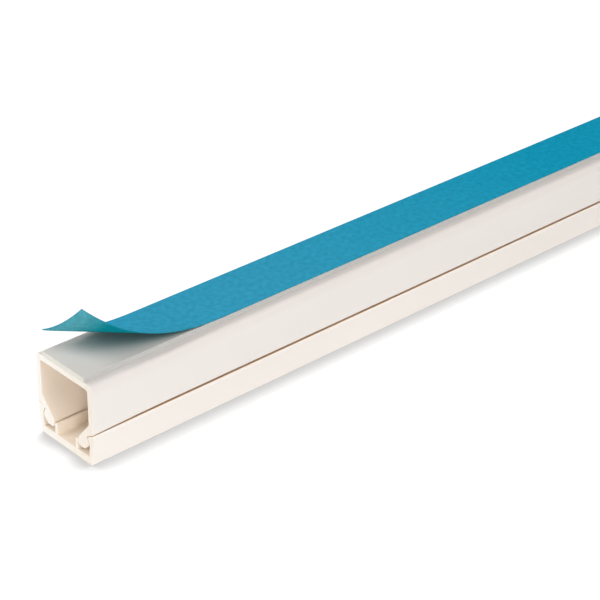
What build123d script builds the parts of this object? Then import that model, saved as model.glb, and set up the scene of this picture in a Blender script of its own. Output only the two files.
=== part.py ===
from build123d import *
from math import cos, radians, sin, tan
import os

# Cord cover raceway: a stick of square snap-together wall channel, lying on its cover.
# Two long PVC extrusions make the channel: the base, with hooked legs, and the cover that snaps
# over them. A strip of foam tape is stuck along the base's back, under a release liner whose
# front end is peeled up in a curl.
# Millimetres. +X runs along the stick, away from the peeled end. +Z is up. The origin is on the
# floor, under the middle of the cover's face.

# The stick
length = 400.0
width = 16.0  # over the side walls of the base
height = 16.5  # from the cover's face to the base's back
edge_radius = 0.25  # left by the extrusion die on the free edges of both sections

# Cover: flat face, two leaning flanges and two inner ribs
cover_thickness = 1.5
flange_height = 6.6
flange_thickness = 1.0
flange_lean = 0.65  # how far the flange's foot stands in from the base's side
flange_proud = 0.2  # how far the flange's tip stands out from the base's side
bead_reach = 0.95  # snap bead, in from the flange's inner face
bead_fall = 1.1  # fall of the flange's sloped top, from its tip to the bead
bead_depth = 1.3  # height of the bead's underside
rib_thickness = 0.7
rib_height = 2.2
foot_radius = 0.2

# Base: back wall, side walls and a hooked leg below each side wall
side_wall = 1.2
back_wall = 1.2
back_corner_radius = 0.9
inner_corner_radius = 0.5
leg_width = 3.1  # from the leg's barb to its inner face
leg_bend_rise = 1.3  # from the shoulder up to where the leg bends in from the side wall
leg_face_top = 4.4  # height at which the leg's inner face turns upright
leg_foot_width = 1.8
leg_foot_radius = 0.6

# Fits between the base and the cover
seam_gap = 0.35  # groove that shows along the side, between the flange and the base's shoulder
snap_clearance = 0.15
foot_clearance = 1.15  # from the cover's inside to the leg's foot
rib_clearance = 0.25

# Foam tape on the base's back
tape_thickness = 1.0
tape_inset = 2.0  # bare strip of the back on each side of the tape

# Release liner and the curl of its peeled end, which tightens evenly towards the near front corner
liner_thickness = 0.2
near_peeled = 22.7  # peeled length at the near front corner, square to the peel line
peel_heading = radians(46.0)  # from the stick's axis to the direction of the peel
curl_start_radius = 32.5  # of the underside, at the peel line
curl_end_radius = 12.1  # of the underside, at the near front corner
curl_facets = 7  # facets up to each of the two front corners
curl_steps = 50  # steps in which the curl's run and rise are added up

front = -length / 2
side = width / 2


def flange_outside(z):
    """How far in from the base's side the flange's outer face stands at height z."""
    return flange_lean - (flange_lean + flange_proud) * z / flange_height


def flange_inside(z):
    return flange_outside(z) + flange_thickness


def corners(section, *points):
    """The vertices of a sketch that lie at these points."""
    return [section.vertices().sort_by_distance(point)[0] for point in points]


# Cover: half of its section, from the middle of the face round to the middle of the inside
bead_in = flange_thickness + bead_reach - flange_proud
bead_z = flange_height - bead_fall
bead_low_z = bead_z - bead_depth
barb_z = bead_low_z - snap_clearance
barb_in = flange_inside(barb_z) + snap_clearance
leg_in = barb_in + leg_width
rib_outside = side - leg_in - rib_clearance
rib_inside = rib_outside - rib_thickness
rib_top = cover_thickness + rib_height

cover_foot = (side - flange_lean, 0)
flange_tip = (side + flange_proud, flange_height)
bead_tip = (side - bead_in, bead_z)
rib_crest = [(rib_outside, rib_top), (rib_inside, rib_top)]
cover_half = [
    (0, 0),
    cover_foot,
    flange_tip,
    bead_tip,
    (side - flange_inside(bead_low_z), bead_low_z),
    (side - flange_inside(cover_thickness), cover_thickness),
    (rib_outside, cover_thickness),
    *rib_crest,
    (rib_inside, cover_thickness),
    (0, cover_thickness),
]
with BuildPart() as cover:
    with BuildSketch(Plane.YZ.offset(front)) as cover_section:
        with BuildLine():
            Polyline(*cover_half, close=True)
        make_face()
        fillet(corners(cover_section, cover_foot), radius=foot_radius)
        fillet(corners(cover_section, flange_tip, bead_tip, *rib_crest), radius=edge_radius)
        mirror(about=Plane.YZ)
    extrude(amount=length)

# Base channel: half of its section, from the middle of the back round to the middle of its inside
shoulder_z = flange_height + seam_gap
shoulder_slope = bead_fall / (flange_thickness + bead_reach)  # the flange's sloped top has the same
neck_in = bead_in + snap_clearance
leg_foot_z = cover_thickness + foot_clearance

back_corner = (side, height)
shoulder = (side, shoulder_z)
barb_tip = (side - barb_in, barb_z)
leg_foot = [(side - leg_in + leg_foot_width, leg_foot_z), (side - leg_in, leg_foot_z)]
inner_corner = (side - side_wall, height - back_wall)
base_half = [
    (0, height),
    back_corner,
    shoulder,
    (side - neck_in, shoulder_z - shoulder_slope * neck_in),
    (side - neck_in, bead_z - snap_clearance),
    barb_tip,
    *leg_foot,
    (side - leg_in, leg_face_top),
    (side - side_wall, shoulder_z + leg_bend_rise),
    inner_corner,
    (0, height - back_wall),
]
with BuildPart() as base_channel:
    with BuildSketch(Plane.YZ.offset(front)) as base_section:
        with BuildLine():
            Polyline(*base_half, close=True)
        make_face()
        fillet(corners(base_section, back_corner), radius=back_corner_radius)
        fillet(corners(base_section, inner_corner), radius=inner_corner_radius)
        fillet(corners(base_section, *leg_foot), radius=leg_foot_radius)
        fillet(corners(base_section, shoulder, barb_tip), radius=edge_radius)
        mirror(about=Plane.YZ)
    extrude(amount=length)

# Foam tape, along the middle of the base's back
tape_width = width - 2 * tape_inset
tape_top = height + tape_thickness
with BuildPart() as adhesive_tape:
    with BuildSketch(Plane.XY.offset(height)):
        Rectangle(length, tape_width)
    extrude(amount=tape_thickness)

# Release liner: flat on the tape up to a slanting peel line, then rolled up about an axis that
# runs along that line. Each section of the roll lies across it, from the near edge to the far
# edge or, past the far front corner, to the cut front end.
near_corner = Vector(front, -tape_width / 2, tape_top)
peel_way = Vector(-cos(peel_heading), -sin(peel_heading), 0)
roll_axis = Vector(-sin(peel_heading), cos(peel_heading), 0)
far_peeled = near_peeled - tape_width * sin(peel_heading)
near_start = near_peeled / cos(peel_heading)  # peeled length along each edge
far_start = far_peeled / cos(peel_heading)
tip_peeled = near_peeled - liner_thickness  # the corner ends in a small blunt tip


def span_at(peeled):
    """Ends of the liner along the roll axis, at this distance past the peel line."""
    left = near_peeled - peeled
    near_end = -left * tan(peel_heading)
    far_edge_end = near_end + tape_width / cos(peel_heading)
    return near_end, min(far_edge_end, left / tan(peel_heading))


def turn_at(peeled):
    """How far the liner has turned up at this distance past the peel line."""
    tightening = (1 / curl_end_radius - 1 / curl_start_radius) / near_peeled
    return peeled / curl_start_radius + tightening * peeled**2 / 2


def roll_section(peeled):
    """Plane across the rolled liner at this distance past the peel line, and its width there."""
    turns = [turn_at(peeled * (i + 0.5) / curl_steps) for i in range(curl_steps)]
    run = sum(cos(turn) for turn in turns) * peeled / curl_steps - near_peeled
    rise = sum(sin(turn) for turn in turns) * peeled / curl_steps
    turn = turn_at(peeled)
    inward = Vector(0, 0, cos(turn)) - peel_way * sin(turn)
    along = Vector(0, 0, sin(turn)) + peel_way * cos(turn)
    near_end, far_end = span_at(peeled)
    middle = near_corner + peel_way * run + roll_axis * ((near_end + far_end) / 2) + Vector(0, 0, rise)
    middle += inward * (liner_thickness / 2)
    return Plane(origin=middle, x_dir=roll_axis, z_dir=along), far_end - near_end


far_stations = [far_peeled * i / curl_facets for i in range(curl_facets + 1)]
near_stations = [far_peeled + (tip_peeled - far_peeled) * i / curl_facets for i in range(1, curl_facets + 1)]
with BuildPart() as release_liner:
    with BuildSketch(Plane.XY.offset(tape_top)):
        with BuildLine():
            Polyline(
                (front + near_start, -tape_width / 2),
                (-front, -tape_width / 2),
                (-front, tape_width / 2),
                (front + far_start, tape_width / 2),
                close=True,
            )
        make_face()
    extrude(amount=liner_thickness)
    for station in far_stations + near_stations:
        section_plane, section_width = roll_section(station)
        with BuildSketch(section_plane):
            Rectangle(section_width, liner_thickness)
    loft(ruled=True)

cover.part.label = "cover"
base_channel.part.label = "base_channel"
adhesive_tape.part.label = "adhesive_tape"
release_liner.part.label = "release_liner"

os.makedirs("parts", exist_ok=True)
export_step(cover.part, "parts/cover.step")
export_step(base_channel.part, "parts/base_channel.step")
export_step(adhesive_tape.part, "parts/adhesive_tape.step")
export_step(release_liner.part, "parts/release_liner.step")
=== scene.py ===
from math import ceil, cos, pi, radians, sin, tan

import bmesh
import bpy
from mathutils import Matrix, Vector, noise


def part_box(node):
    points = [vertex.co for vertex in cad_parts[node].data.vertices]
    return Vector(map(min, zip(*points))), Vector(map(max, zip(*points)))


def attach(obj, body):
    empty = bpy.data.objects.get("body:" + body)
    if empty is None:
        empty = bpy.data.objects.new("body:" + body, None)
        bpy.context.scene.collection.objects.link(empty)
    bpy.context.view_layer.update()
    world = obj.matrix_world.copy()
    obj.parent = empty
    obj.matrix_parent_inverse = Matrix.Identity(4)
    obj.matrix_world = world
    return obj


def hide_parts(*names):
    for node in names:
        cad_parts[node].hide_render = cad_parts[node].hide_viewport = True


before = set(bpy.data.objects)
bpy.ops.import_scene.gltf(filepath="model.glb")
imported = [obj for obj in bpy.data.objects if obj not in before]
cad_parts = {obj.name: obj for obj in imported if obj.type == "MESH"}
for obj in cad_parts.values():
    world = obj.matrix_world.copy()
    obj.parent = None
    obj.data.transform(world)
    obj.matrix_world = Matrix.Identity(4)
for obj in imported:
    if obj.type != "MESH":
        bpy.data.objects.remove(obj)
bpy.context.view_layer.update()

# Base channel: the deep half of the raceway, drawn out of warm white PVC with a hooked leg below
# each side wall. Fine die lines run along it, and both its ends are plain saw cuts, where the burr
# nearly closes its seam with the cover. It lies with its back up; its back is painted darker as
# shade, with a grey line of painted shade along the tape's foot. Its inside and its seam faces are
# painted warmer and lighter, as painted light that comes through the thin PVC.
mm = 0.001
base_low, base_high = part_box("base_channel")
front = base_low.x
far_end = base_high.x
stick_length = far_end - front
side = base_high.y
back = base_high.z
wall = 1.2 * mm
back_corner_radius = 0.9 * mm
inner_corner_radius = 0.5 * mm
edge_radius = 0.25 * mm
shoulder = 6.95 * mm
shoulder_slope = 1.1 / 1.95
neck = side - 1.9 * mm
neck_foot = 5.35 * mm
barb = side - 1.278 * mm
barb_height = 4.05 * mm
leg_inside = side - 4.378 * mm
leg_outside = leg_inside + 1.8 * mm
leg_foot = base_low.z
leg_foot_radius = 0.6 * mm
leg_face_top = 4.4 * mm
leg_bend = 8.25 * mm
broken_edge = 0.07 * mm
seam_burr = 0.325 * mm
seam_burr_reach = 20 * mm
ring_spacing = 2.5 * mm
arc_step = radians(11)
corner_limit = 2.0
crease = radians(40)

plain_white = (1, 1, 1, 1)
base_white = (0.835, 0.787, 0.745, 1)
# Painted shade: the back darkens to this colour towards its top, over this reach.
base_back_painted_shade = (0.78, 0.72, 0.685, 1)
back_painted_shade_reach = 2.4 * mm
# Painted shade: a grey line along the tape's foot, this wide beside the tape.
tape_foot_painted_shade = (0.66, 0.61, 0.58, 1)
tape_foot_shade_reach = 0.6 * mm
tape_half_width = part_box("adhesive_tape")[1].y
# The sawn faces go from this colour at the far side to cut_warm, darker and warmer, at the near side.
cut_white = (0.93, 0.895, 0.835, 1)
cut_warm = (0.87, 0.79, 0.69, 1)
# Painted light: the inside faces are warm and light, for light through the thin walls.
inner_painted_light_white = (0.97, 0.855, 0.73, 1)
# Painted light: the seam faces are warm and light, for light bleeding into the groove.
seam_painted_light_white = (0.95, 0.75, 0.56, 1)
skin = 0.3 * mm
noise_low = 0.3
noise_high = 0.7
pvc_ior = 1.53
pvc_shine = 0.3
die_lines_per_metre = (5, 900, 900)
die_line_depth = 0.004 * mm
drawn_roughness = (0.48, 0.6)
clouds_per_metre = (18, 60, 60)
cloud_shades = (0.985, 1.015)
saw_marks_per_metre = (500, 4500, 350)
saw_slant = radians(28)
saw_mark_depth = 0.015 * mm
saw_mark_shades = (0.97, 1.02)
sawn_roughness = (0.5, 0.7)


def rounded(corners):
    """Outline through corners of (y, z, radius), with an arc at each corner that has a radius."""
    outline = []
    for i, (y, z, radius) in enumerate(corners):
        corner = Vector((y, z))
        if not radius:
            outline.append(corner)
            continue
        to_last = (Vector(corners[i - 1][:2]) - corner).normalized()
        to_next = (Vector(corners[i + 1][:2]) - corner).normalized()
        half_angle = to_last.angle(to_next) / 2
        centre = corner + (to_last + to_next).normalized() * (radius / sin(half_angle))
        start = (corner + to_last * (radius / tan(half_angle)) - centre).normalized()
        end = (corner + to_next * (radius / tan(half_angle)) - centre).normalized()
        steps = ceil((pi - 2 * half_angle) / arc_step)
        outline += [centre + start.slerp(end, step / steps) * radius for step in range(steps + 1)]
    return outline


def both_halves(half):
    """Closed outline of a half and its mirror; the half runs clockwise from middle to middle."""
    return half + [Vector((-point.x, point.y)) for point in reversed(half[1:-1])]


def drawn_in(outline, amount):
    """A clockwise outline moved in by this amount, square to its edges, with a limit at sharp corners."""
    inner = []
    for last, here, following in zip(outline[-1:] + outline[:-1], outline, outline[1:] + outline[:1]):
        arriving = (here - last).normalized()
        along = (arriving + (following - here).normalized()).normalized()
        inward = Vector((along.y, -along.x))
        inner.append(here + inward * (amount / max(1 / corner_limit, along.dot(arriving))))
    return inner


def skin_over(rings):
    """Points and faces of the closed skin over rings of (x, outline), with its two ends first."""
    points = [(x, point.x, point.y) for x, outline in rings for point in outline]
    count = len(rings[0][1])
    faces = [tuple(range(count)), tuple(range(len(points) - count, len(points)))]
    for start in range(0, len(points) - count, count):
        for i in range(count):
            here = start + i
            beside = start + (i + 1) % count
            faces.append((here, beside, beside + count, here + count))
    return points, faces


def piece_from(name, points, faces, finishes, finish_of_face):
    """Piece with these points and faces, smooth except at its sharp edges, riding on the stick."""
    mesh = bpy.data.meshes.new(name)
    mesh.from_pydata(points, [], faces)
    for finish in finishes:
        mesh.materials.append(finish)
    mesh.polygons.foreach_set("material_index", finish_of_face)
    loose = bmesh.new()
    loose.from_mesh(mesh)
    bmesh.ops.recalc_face_normals(loose, faces=loose.faces)
    loose.to_mesh(mesh)
    loose.free()
    mesh.shade_smooth()
    mesh.set_sharp_from_angle(angle=crease)
    piece = bpy.data.objects.new(name, mesh)
    bpy.context.scene.collection.objects.link(piece)
    level = piece.modifiers.new("level faces", "WEIGHTED_NORMAL")
    level.keep_sharp = True
    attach(piece, "root")
    return piece


def extrusion(name, section_at, face_at, finishes):
    """Piece with this section from the front end to the far end, with its cut edges broken."""
    spans = ceil(stick_length / ring_spacing)
    run = stick_length - 2 * broken_edge
    stations = [front + broken_edge + run * i / spans for i in range(spans + 1)]
    rings = [(x, section_at(x)) for x in stations]
    rings.insert(0, (front, drawn_in(rings[0][1], broken_edge)))
    rings.append((far_end, drawn_in(rings[-1][1], broken_edge)))
    outline = section_at((front + far_end) / 2)
    middles = [(here + beside) / 2 for here, beside in zip(outline, outline[1:] + outline[:1])]
    places = list(finishes)
    plain_ring = [places.index(face_at(abs(middle.x), middle.y)) for middle in middles]
    cut = places.index("cut")
    cut_ring = [cut] * len(outline)
    finish_of_face = [cut, cut] + cut_ring + plain_ring * spans + cut_ring
    return piece_from(name, *skin_over(rings), finishes.values(), finish_of_face)


def new_finish(name):
    """New material, its node tree and its shader."""
    finish = bpy.data.materials.new(name)
    finish.use_nodes = True
    return finish, finish.node_tree, finish.node_tree.nodes["Principled BSDF"]


def add(tree, kind, sockets, **settings):
    """New node with these settings; a socket takes a value or another node's output."""
    node = tree.nodes.new(kind)
    for setting, value in settings.items():
        setattr(node, setting, value)
    for socket, value in sockets.items():
        if isinstance(value, bpy.types.NodeSocket):
            tree.links.new(value, node.inputs[socket])
        else:
            node.inputs[socket].default_value = value
    return node


def grain(tree, scale, turn=(0, 0, 0), detail=3.0):
    """Noise over the piece, with this many features to the metre along X, Y and Z."""
    place = add(tree, "ShaderNodeTexCoord", {}).outputs["Object"]
    scaled = add(tree, "ShaderNodeMapping", {"Vector": place, "Rotation": turn, "Scale": scale})
    sockets = {"Vector": scaled.outputs["Vector"], "Scale": 1.0, "Detail": detail}
    return add(tree, "ShaderNodeTexNoise", sockets).outputs["Fac"]


def between(tree, value, start, end, start_level=0.0, end_level=1.0):
    """Level that goes from start_level to end_level while a value goes from start to end."""
    sockets = {"Value": value, "From Min": start, "From Max": end}
    sockets |= {"To Min": start_level, "To Max": end_level}
    return add(tree, "ShaderNodeMapRange", sockets).outputs["Result"]


def spread(tree, value, low, high):
    """A noise value spread over low to high."""
    return between(tree, value, noise_low, noise_high, low, high)


def shades(tree, value, colour, low, high):
    """Shades of a colour by a noise value, from low to high times as bright."""
    ramp = add(tree, "ShaderNodeValToRGB", {"Fac": value})
    for stop, place, factor in zip(ramp.color_ramp.elements, (noise_low, noise_high), (low, high)):
        stop.position = place
        stop.color = tuple(part * factor for part in colour[:3]) + (1,)
    return ramp.outputs["Color"]


def place_along(tree, axis):
    """How far along X, Y or Z a point of the piece is."""
    place = add(tree, "ShaderNodeTexCoord", {}).outputs["Object"]
    return add(tree, "ShaderNodeSeparateXYZ", {"Vector": place}).outputs[axis]


def mixed(tree, share, one, other, way="MIX"):
    """Colour that goes from one to other with a share."""
    share_socket, one_socket, other_socket, colour_output = 0, 6, 7, 2
    sockets = {share_socket: share, one_socket: one, other_socket: other}
    return add(tree, "ShaderNodeMix", sockets, data_type="RGBA", blend_type=way).outputs[colour_output]


def relief(tree, shader, height, depth):
    """Bumps of this depth in metres on a shader."""
    bump = add(tree, "ShaderNodeBump", {"Height": height, "Distance": depth})
    tree.links.new(bump.outputs["Normal"], shader.inputs["Normal"])


def drawn_pvc(name, colour, with_painted_shade=False):
    """Satin PVC with die lines and faint clouds; the base's outside has painted shade, darker at its back
    and in a grey line along the tape's foot.
    """
    finish, tree, shader = new_finish(name)
    die_lines = grain(tree, die_lines_per_metre)
    clouds = grain(tree, clouds_per_metre, detail=2.0)
    clouded = shades(tree, clouds, colour, *cloud_shades)
    if with_painted_shade:
        # Painted shade: darker towards the back and in a grey line along the tape's foot.
        at_back = between(tree, place_along(tree, "Z"), back - back_painted_shade_reach, back)
        clouded = mixed(tree, at_back, clouded, base_back_painted_shade)
        across = {0: place_along(tree, "Y")}
        from_middle = add(tree, "ShaderNodeMath", across, operation="ABSOLUTE").outputs["Value"]
        at_tape = between(tree, from_middle, tape_half_width + tape_foot_shade_reach, tape_half_width)
        clouded = mixed(tree, at_tape, clouded, tape_foot_painted_shade)
    tree.links.new(clouded, shader.inputs["Base Color"])
    tree.links.new(spread(tree, die_lines, *drawn_roughness), shader.inputs["Roughness"])
    relief(tree, shader, die_lines, die_line_depth)
    shader.inputs["IOR"].default_value = pvc_ior
    shader.inputs["Specular IOR Level"].default_value = pvc_shine
    return finish


def sawn_pvc(name):
    """PVC that the saw went through: rougher, with slanting saw marks, darker and warmer towards the near
    side.
    """
    finish, tree, shader = new_finish(name)
    saw_marks = grain(tree, saw_marks_per_metre, turn=(saw_slant, 0, 0))
    marks = shades(tree, saw_marks, plain_white, *saw_mark_shades)
    warmth = between(tree, place_along(tree, "Y"), side, -side)
    colour = mixed(tree, warmth, cut_white, cut_warm)
    tree.links.new(mixed(tree, 1.0, colour, marks, "MULTIPLY"), shader.inputs["Base Color"])
    tree.links.new(spread(tree, saw_marks, *sawn_roughness), shader.inputs["Roughness"])
    relief(tree, shader, saw_marks, saw_mark_depth)
    shader.inputs["Specular IOR Level"].default_value = pvc_shine
    return finish


def base_section(x):
    """Section of the base at x, clockwise; the saw's burr lowers its shoulder at both ends."""
    from_end = min(x - front, far_end - x)
    burr = seam_burr * max(0, 1 - from_end / seam_burr_reach) ** 2
    return both_halves(rounded([
        (0, back, 0),
        (side, back, back_corner_radius),
        (side, shoulder - burr, edge_radius),
        (neck, shoulder - burr - shoulder_slope * (side - neck), 0),
        (neck, neck_foot, 0),
        (barb, barb_height, edge_radius),
        (leg_outside, leg_foot, leg_foot_radius),
        (leg_inside, leg_foot, leg_foot_radius),
        (leg_inside, leg_face_top, 0),
        (side - wall, leg_bend, 0),
        (side - wall, back - wall, inner_corner_radius),
        (0, back - wall, 0),
    ]))


def base_face(y, z):
    """Which face of the base a point of its section is on."""
    if z > back - skin or y > side - skin and z > shoulder:
        return "outside"
    return "seam" if y > neck and neck_foot < z < shoulder else "inside"


pvc_finishes = {
    "cut": sawn_pvc("pvc_sawn"),
    "inside": drawn_pvc("pvc_inside_painted_light", inner_painted_light_white),
    "seam": drawn_pvc("pvc_seam_painted_light", seam_painted_light_white),
}
base = extrusion(
    "base_extrusion",
    base_section,
    base_face,
    {"outside": drawn_pvc("base_pvc_drawn", base_white, with_painted_shade=True), **pvc_finishes},
)
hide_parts("base_channel")

# Adhesive tape: closed-cell foam strip, stuck along the middle of the base's back. Its slit sides
# are a little hollow and show the foam's cells, and its upper face is coated with clear adhesive.
tape_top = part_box("adhesive_tape")[1].z
tape_waist = (tape_top + back) / 2
tape_hollow = 0.05 * mm
tape_edge_radius = 0.08 * mm
tape_wander = 0.04 * mm
wanders_per_metre = 180
wander_track = 7.3
tape_ring_spacing = 1.5 * mm
# The slit sides' foam is darker than the cut ends' foam.
foam_white = (0.585, 0.575, 0.555, 1)
foam_cut_white = (0.76, 0.735, 0.66, 1)
foam_cells_per_metre = 5200.0
foam_cell_depth = 0.02 * mm
foam_shades = (0.94, 1.02)
foam_roughness = 0.85
adhesive_white = (0.7, 0.637, 0.592, 1)
adhesive_clouds_per_metre = (160, 160, 160)
adhesive_shades = (0.97, 1.02)
adhesive_peel_per_metre = (1400, 1400, 1400)
adhesive_peel_depth = 0.02 * mm
adhesive_roughness = (0.4, 0.6)
tape_shine = 0.2


def tape_section(x):
    """Section of the tape at x, clockwise: its sides wander where the slitting knife did."""
    halves = []
    for way in (1, -1):
        wander = tape_wander * noise.noise(Vector((x * wanders_per_metre, way * wander_track, 0)))
        edge = tape_half_width - tape_hollow + wander
        half = rounded([
            (0, tape_top, 0),
            (edge, tape_top, tape_edge_radius),
            (edge - tape_hollow, tape_waist, 0),
            (edge, back, 0),
            (0, back, 0),
        ])
        halves.append([Vector((way * point.x, point.y)) for point in half])
    return halves[0] + list(reversed(halves[1][1:-1]))


def foam(name, colour):
    """Foam cut through its cells."""
    finish, tree, shader = new_finish(name)
    place = add(tree, "ShaderNodeTexCoord", {}).outputs["Object"]
    sockets = {"Vector": place, "Scale": foam_cells_per_metre}
    cells = add(tree, "ShaderNodeTexVoronoi", sockets).outputs["Distance"]
    tree.links.new(shades(tree, cells, colour, *foam_shades), shader.inputs["Base Color"])
    relief(tree, shader, cells, foam_cell_depth)
    shader.inputs["Roughness"].default_value = foam_roughness
    shader.inputs["Specular IOR Level"].default_value = tape_shine
    return finish


def adhesive(name, colour):
    """Tacky coat over the foam, with the fine orange peel that the liner leaves on it."""
    finish, tree, shader = new_finish(name)
    peel = grain(tree, adhesive_peel_per_metre, detail=2.0)
    clouds = grain(tree, adhesive_clouds_per_metre)
    tree.links.new(shades(tree, clouds, colour, *adhesive_shades), shader.inputs["Base Color"])
    tree.links.new(spread(tree, peel, *adhesive_roughness), shader.inputs["Roughness"])
    relief(tree, shader, peel, adhesive_peel_depth)
    shader.inputs["Specular IOR Level"].default_value = tape_shine
    return finish


on_top, on_side, on_cut = 0, 1, 2
tape_finishes = [
    adhesive("tape_adhesive", adhesive_white),
    foam("tape_foam_slit", foam_white),
    foam("tape_foam_cut", foam_cut_white),
]
tape_spans = ceil(stick_length / tape_ring_spacing)
tape_stations = [front + stick_length * i / tape_spans for i in range(tape_spans + 1)]
tape_rings = [(x, tape_section(x)) for x in tape_stations]
tape_outline = tape_rings[0][1]
coat_foot = tape_top - tape_edge_radius / 3
tape_ring = []
for here, beside in zip(tape_outline, tape_outline[1:] + tape_outline[:1]):
    tape_ring.append(on_top if min(here.y, beside.y) > coat_foot else on_side)
tape_finish = [on_cut, on_cut] + tape_ring * tape_spans
tape = piece_from("foam_tape_strip", *skin_over(tape_rings), tape_finishes, tape_finish)
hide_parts("adhesive_tape")

# Release liner: thin blue film laid over the tape. Its underside is painted teal, a greener copy of
# the blue, as painted light that comes through the film. It lies flat up to a slanting peel line,
# and its front end is pulled up there in a roll that tightens towards the near corner. Near the
# front end, its blue face has a painted sheen and its underside a painted reflection.
film_thickness = 0.2 * mm
film_top = tape_top + film_thickness
film_near = -tape_half_width
film_far = tape_half_width
film_overhang = 0.55 * mm
film_skew = 0.0616
roll_heading = radians(45.98)
peel_way = Vector((-cos(roll_heading), -sin(roll_heading), 0))
roll_start_radius = 32.4 * mm
roll_end_radius = 12.05 * mm
near_corner_peeled = 22.34 * mm
near_front = Vector((front, film_near, film_top))
roll_steps = 50
rows_across = 26
fine_rows_reach = 36 * mm
fine_row = 0.5 * mm
plain_row = 4.0 * mm
film_blue = (0.009, 0.324, 0.503, 1)
# Painted sheen: the blue face turns lighter and redder towards the front end.
film_blue_sheen = (0.037, 0.335, 0.514, 1)
blue_sheen_reach = (45 * mm, 126 * mm)
blue_roughness = 0.5
# Painted light: teal for light through the film, with a painted reflection near the front end.
film_teal_painted_light = (0.004, 0.25, 0.31, 1)
film_teal_painted_reflection = (0.085, 0.375, 0.45, 1)
teal_reflection_reach = (3.4 * mm, 7.0 * mm)
teal_roughness = 0.4
film_edge = (0.02, 0.27, 0.39, 1)
edge_roughness = 0.6
edge_shine = 0.1
roughness_spread = 0.05
mottle_per_metre = (900, 900, 900)
mottle_shades = (0.89, 1.11)
ripples_per_metre = (90, 260, 260)
ripple_depth = 0.004 * mm


def film_turn(peeled):
    """How far the film has turned up at this distance past the peel line."""
    tightening = (1 / roll_end_radius - 1 / roll_start_radius) / near_corner_peeled
    return peeled / roll_start_radius + tightening * peeled**2 / 2


def film_point(x, y, rise):
    """Where a point of the flat film lies once its end is rolled up; rise is through its thickness."""
    flat = Vector((x, y, film_top))
    peeled = max(0, near_corner_peeled + (flat - near_front).dot(peel_way))
    turns = [film_turn(peeled * (i + 0.5) / roll_steps) for i in range(roll_steps)]
    run = sum(cos(turn) for turn in turns) * peeled / roll_steps
    lift = sum(sin(turn) for turn in turns) * peeled / roll_steps
    turn = film_turn(peeled)
    inward = Vector((0, 0, cos(turn))) - peel_way * sin(turn)
    return flat - peel_way * (peeled - run) + Vector((0, 0, lift)) + inward * rise


def film(name, colour, sheen_colour, sheen_reach, roughness, shine=0.0):
    """Mottled, faintly rippled film; its painted sheen is full up to the first sheen place, fading out by
    the second.
    """
    finish, tree, shader = new_finish(name)
    mottle = grain(tree, mottle_per_metre, detail=4.0)
    ripple = grain(tree, ripples_per_metre, detail=2.0)
    full_sheen, no_sheen = sheen_reach
    sheen_share = between(tree, place_along(tree, "X"), front + no_sheen, front + full_sheen)
    mottled = shades(tree, mottle, plain_white, *mottle_shades)
    blend = mixed(tree, 1.0, mixed(tree, sheen_share, colour, sheen_colour), mottled, "MULTIPLY")
    tree.links.new(blend, shader.inputs["Base Color"])
    uneven = spread(tree, mottle, roughness - roughness_spread, roughness + roughness_spread)
    tree.links.new(uneven, shader.inputs["Roughness"])
    relief(tree, shader, ripple, ripple_depth)
    shader.inputs["Specular IOR Level"].default_value = shine
    return finish


fine_rows = ceil(fine_rows_reach / fine_row)
plain_run = stick_length - fine_rows_reach
plain_rows = ceil(plain_run / plain_row)
film_stations = [fine_rows_reach * i / fine_rows for i in range(fine_rows)]
film_stations += [fine_rows_reach + plain_run * i / plain_rows for i in range(plain_rows + 1)]
film_points = []
for rise in (-film_thickness, 0):
    for station in film_stations:
        for row in range(rows_across + 1):
            across = (film_far - film_near) * row / rows_across
            cut = (film_skew * across - film_overhang) * (1 - station / stick_length)
            film_points.append(film_point(front + station + cut, film_near + across, rise))
blue_face, teal_underside, cut_edge = 0, 1, 2
film_finishes = [
    film("liner_blue_face", film_blue, film_blue_sheen, blue_sheen_reach, blue_roughness),
    film("liner_teal_underside", film_teal_painted_light, film_teal_painted_reflection, teal_reflection_reach, teal_roughness),
    film("liner_cut_edge", film_edge, film_edge, teal_reflection_reach, edge_roughness, edge_shine),
]
row_points = rows_across + 1
layer_points = len(film_stations) * row_points
film_faces = []
film_finish = []
for length_row in range(len(film_stations) - 1):
    for row in range(rows_across):
        corner = length_row * row_points + row
        under = (corner, corner + 1, corner + row_points + 1, corner + row_points)
        film_faces += [under, tuple(point + layer_points for point in reversed(under))]
        film_finish += [teal_underside, blue_face]
rim = list(range(row_points))
rim += [row * row_points + rows_across for row in range(1, len(film_stations))]
rim += list(range(layer_points - 2, layer_points - row_points - 1, -1))
rim += [row * row_points for row in range(len(film_stations) - 2, 0, -1)]
for here, beside in zip(rim, rim[1:] + rim[:1]):
    film_faces.append((here, beside, beside + layer_points, here + layer_points))
    film_finish.append(cut_edge)
liner = piece_from("liner_film_strip", film_points, film_faces, film_finishes, film_finish)
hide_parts("release_liner")

# Cover: the shallow half of the raceway, drawn out of the same PVC and snapped over the base's
# legs. Its flanges lean out to the base's sides and hook behind the legs with an inner bead. Its
# outside is painted a little lighter than the base's, as painted light from the floor.
cover_thickness = 1.5 * mm
flange_height = 6.6 * mm
flange_thickness = 1.0 * mm
flange_lean = 0.65 * mm
flange_proud = 0.2 * mm
bead_tip = side - 1.75 * mm
bead_height = 5.5 * mm
bead_underside = 4.2 * mm
rib_outside = leg_inside - 0.25 * mm
rib_inside = rib_outside - 0.7 * mm
rib_top = 3.7 * mm
foot_radius = 0.2 * mm
# Painted light: a little lighter than the base's PVC, for the floor's light on the flanges.
cover_painted_lit_white = (0.893, 0.838, 0.787, 1)


def flange_face(z):
    """Where a flange's outer face stands at height z."""
    return side - flange_lean + (flange_lean + flange_proud) * z / flange_height


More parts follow.
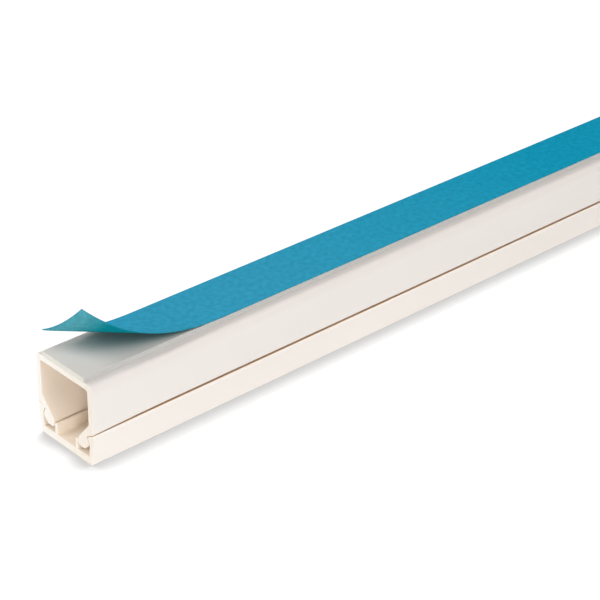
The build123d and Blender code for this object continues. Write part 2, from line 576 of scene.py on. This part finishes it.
cover_section = both_halves(rounded([
    (0, cover_thickness, 0),
    (rib_inside, cover_thickness, 0),
    (rib_inside, rib_top, edge_radius),
    (rib_outside, rib_top, edge_radius),
    (rib_outside, cover_thickness, 0),
    (flange_face(cover_thickness) - flange_thickness, cover_thickness, 0),
    (flange_face(bead_underside) - flange_thickness, bead_underside, 0),
    (bead_tip, bead_height, edge_radius),
    (side + flange_proud, flange_height, edge_radius),
    (side - flange_lean, 0, foot_radius),
    (0, 0, 0),
]))


def cover_face(y, z):
    """Which face of the cover a point of its section is on."""
    if z < skin or y > flange_face(z) - skin:
        return "outside"
    return "seam" if y > bead_tip and z > bead_height else "inside"


cover = extrusion(
    "cover_extrusion",
    lambda x: cover_section,
    cover_face,
    {"outside": drawn_pvc("cover_pvc_drawn", cover_painted_lit_white), **pvc_finishes},
)
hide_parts("cover")

# Floor: a wide, flat white sheet under the stick, which throws soft light back on it. The camera
# and reflections see it as plain white with the stick's shadow, deepest close to the stick, and it
# glows more out of the lamps' reach, to stay white there.
floor_reach = 4.0
floor_drop = 0.02 * mm
floor_white = (0.9, 0.9, 0.9, 1)
floor_seen_white = (0.3, 0.3, 0.3, 1)
lit_glow = 0.8
lit_reach = 0.25
unlit_glow = 1.0
unlit_reach = 0.7
shade_glow = 0.3
shade_reach = 5.5 * mm
shade_lean = {"X": 1.0, "Y": 0.65, "Z": 0.7}
deep_shade = 0.42
no_shade = 0.8


def background_rays(tree):
    """One for camera, mirror and see-through rays, and nothing for the rays that carry light."""
    path = add(tree, "ShaderNodeLightPath", {})
    sharp = {0: path.outputs["Is Camera Ray"], 1: path.outputs["Is Glossy Ray"]}
    seen = add(tree, "ShaderNodeMath", sharp, operation="MAXIMUM").outputs["Value"]
    clear = {0: seen, 1: path.outputs["Is Transmission Ray"]}
    return add(tree, "ShaderNodeMath", clear, operation="MAXIMUM").outputs["Value"]


floor_mesh = bpy.data.meshes.new("floor")
floor_signs = ((-1, -1), (1, -1), (1, 1), (-1, 1))
floor_corners = [(x * floor_reach, y * floor_reach, -floor_drop) for x, y in floor_signs]
floor_mesh.from_pydata(floor_corners, [], [(0, 1, 2, 3)])
floor = bpy.data.objects.new("floor", floor_mesh)
bpy.context.scene.collection.objects.link(floor)
floor_finish, floor_tree, floor_shader = new_finish("floor_white")
floor_shader.inputs["Base Color"].default_value = floor_white
floor_shader.inputs["Roughness"].default_value = 1.0
floor_shader.inputs["Specular IOR Level"].default_value = 0.0
seen_floor = add(floor_tree, "ShaderNodeBsdfDiffuse", {"Color": floor_seen_white}).outputs["BSDF"]
floor_place = add(floor_tree, "ShaderNodeTexCoord", {}).outputs["Object"]
away = add(floor_tree, "ShaderNodeVectorMath", {0: floor_place}, operation="LENGTH").outputs["Value"]
open_glow = between(floor_tree, away, lit_reach, unlit_reach, lit_glow, unlit_glow)
leaning = add(floor_tree, "ShaderNodeCombineXYZ", shade_lean).outputs["Vector"]
shade = {"Distance": shade_reach, "Normal": leaning}
openness = add(floor_tree, "ShaderNodeAmbientOcclusion", shade).outputs["AO"]
glow_level = between(floor_tree, openness, deep_shade, no_shade, shade_glow, open_glow)
glow = add(floor_tree, "ShaderNodeEmission", {"Strength": glow_level}).outputs["Emission"]
seen_white = add(floor_tree, "ShaderNodeAddShader", {0: seen_floor, 1: glow}).outputs["Shader"]
floor_sockets = {"Fac": background_rays(floor_tree), 1: floor_shader.outputs["BSDF"], 2: seen_white}
floor_mix = add(floor_tree, "ShaderNodeMixShader", floor_sockets)
floor_tree.links.new(floor_mix.outputs["Shader"], floor_tree.nodes["Material Output"].inputs["Surface"])
floor_mesh.materials.append(floor_finish)

# Light: a white tent all round, with soft lamps overhead, at the near side and behind the stick, and
# low ones before its cut ends and at its far side. The camera and reflections see plain white.
tent_level = 0.21
tent_seen_level = 1.0
stick_front = Vector((front, 0, 0))


def tent_white(tree, level):
    """White tent of this level."""
    sockets = {"Color": plain_white, "Strength": level}
    return add(tree, "ShaderNodeBackground", sockets).outputs["Background"]


world = bpy.data.worlds.new("tent")
bpy.context.scene.world = world
world.use_nodes = True
tent = world.node_tree
tent_sockets = {
    "Fac": background_rays(tent),
    1: tent_white(tent, tent_level),
    2: tent_white(tent, tent_seen_level),
}
tent_mix = add(tent, "ShaderNodeMixShader", tent_sockets)
tent.links.new(tent_mix.outputs["Shader"], tent.nodes["World Output"].inputs["Surface"])


def soft_lamp(name, heading, height, distance, size, level):
    """Round lamp seen from the stick's front end at these angles; level 1 lights white as white."""
    lamp = bpy.data.lights.new(name, "AREA")
    lamp.shape = "DISK"
    lamp.size = size
    lamp.energy = level * (pi * distance) ** 2
    stand = bpy.data.objects.new(name, lamp)
    way = Vector((cos(height) * cos(heading), cos(height) * sin(heading), sin(height)))
    stand.location = stick_front + way * distance
    stand.rotation_mode = "QUATERNION"
    stand.rotation_quaternion = way.to_track_quat("Z", "Y")
    bpy.context.scene.collection.objects.link(stand)


soft_lamp("overhead_lamp", heading=radians(-128), height=radians(68), distance=0.9, size=0.5, level=0.24)
soft_lamp("side_lamp", heading=radians(-80), height=radians(45), distance=0.9, size=0.5, level=0.335)
soft_lamp("behind_lamp", heading=radians(138), height=radians(36), distance=0.9, size=0.5, level=0.43)
soft_lamp("low_lamp", heading=radians(-130), height=radians(3), distance=0.8, size=0.3, level=0.49)
soft_lamp("far_side_lamp", heading=radians(75), height=radians(4), distance=0.9, size=0.4, level=0.36)
soft_lamp("far_end_lamp", heading=radians(30), height=radians(5), distance=0.9, size=0.3, level=0.16)

# Camera: off the near corner of the peeled end and above it, looking down across the stick at a
# slant. Its long lens frames the front of the stick, and it is rolled by about a degree.
camera_place = Vector((-0.35716, -0.22574, 0.18629))
camera_heading = radians(46.617)
camera_drop = radians(29.681)
camera_roll = radians(1.153)
camera_lens = 111.03
camera_sensor = 36

camera = bpy.data.cameras.new("camera")
camera.lens = camera_lens
camera.sensor_width = camera_sensor
camera_stand = bpy.data.objects.new("camera", camera)
bpy.context.scene.collection.objects.link(camera_stand)
turned = Matrix.Rotation(camera_heading - pi / 2, 4, "Z")
tipped = Matrix.Rotation(pi / 2 - camera_drop, 4, "X")
rolled = Matrix.Rotation(camera_roll, 4, "Z")
camera_stand.matrix_world = Matrix.Translation(camera_place) @ turned @ tipped @ rolled
bpy.context.scene.camera = camera_stand
bpy.context.scene.view_settings.view_transform = "Standard"
